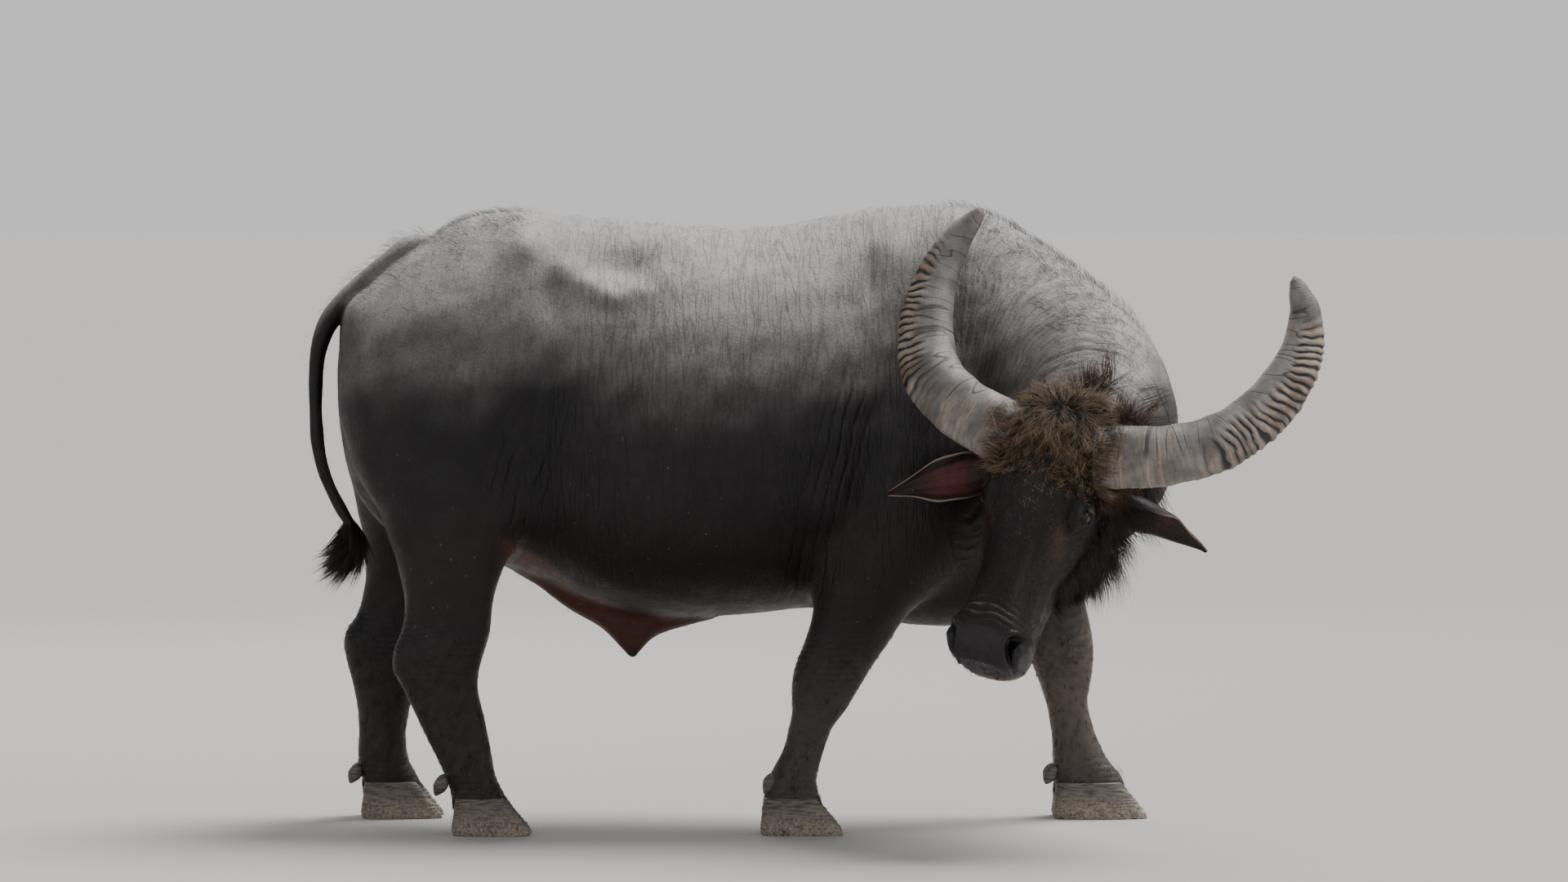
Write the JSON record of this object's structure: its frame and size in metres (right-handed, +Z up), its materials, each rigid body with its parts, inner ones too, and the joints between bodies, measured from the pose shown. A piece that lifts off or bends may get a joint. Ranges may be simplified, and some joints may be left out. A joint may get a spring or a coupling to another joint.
{
  "type": "water buffalo",
  "caption": "Life-size standing water buffalo bull with curved ridged horns, its lowered head turned to its right, as a still display model.",
  "frame": {"origin": "centre of the bounding box at floor level, under the hooves", "axes": "+X towards the chest and shoulders, +Y towards the animal's left side, +Z up"},
  "size_m": [2.1158, 1.0848, 1.33],
  "materials": {
    "skin": "thick wrinkled hide, nearly bare, dark slate grey, dusty on its upper faces, dull with a soft sheen",
    "red_skin": "thin bare reddish brown skin of the flap and sheath, soft folds",
    "hair": "coarse brown-black hair in tufts with sun-bleached tips",
    "horn": "grey-brown keratin with strong cross ridges, worn cream and orange-brown on their edges, smooth towards the tip",
    "hoof": "black-brown hoof keratin, scuffed and dusty, with growth rings",
    "eye": "dark brown iris under a clear wet cornea"
  },
  "bodies": {
    "root": {"torso": "skin", "neck": "skin", "head": "skin", "ear_left": "skin", "ear_right": "skin", "eye_left": "eye", "eye_right": "eye", "horn_left": "horn", "horn_right": "horn", "sheath": "red_skin", "scrotum": "skin", "tail_base": "skin", "tail_middle": "skin", "tail_end": "skin", "tail_switch": "hair", "foreleg_right_upper": "skin", "foreleg_right_lower": "skin", "foreleg_right_hoof_inner": "hoof", "foreleg_right_hoof_outer": "hoof", "foreleg_right_dewclaw_inner": "hoof", "foreleg_right_dewclaw_outer": "hoof", "foreleg_left_upper": "skin", "foreleg_left_lower": "skin", "foreleg_left_hoof_inner": "hoof", "foreleg_left_hoof_outer": "hoof", "foreleg_left_dewclaw_inner": "hoof", "foreleg_left_dewclaw_outer": "hoof", "hindleg_right_upper": "skin", "hindleg_right_lower": "skin", "hindleg_right_hoof_inner": "hoof", "hindleg_right_hoof_outer": "hoof", "hindleg_right_dewclaw_inner": "hoof", "hindleg_right_dewclaw_outer": "hoof", "hindleg_left_upper": "skin", "hindleg_left_lower": "skin", "hindleg_left_hoof_inner": "hoof", "hindleg_left_hoof_outer": "hoof", "hindleg_left_dewclaw_inner": "hoof", "hindleg_left_dewclaw_outer": "hoof"}
  },
  "joints": []
}
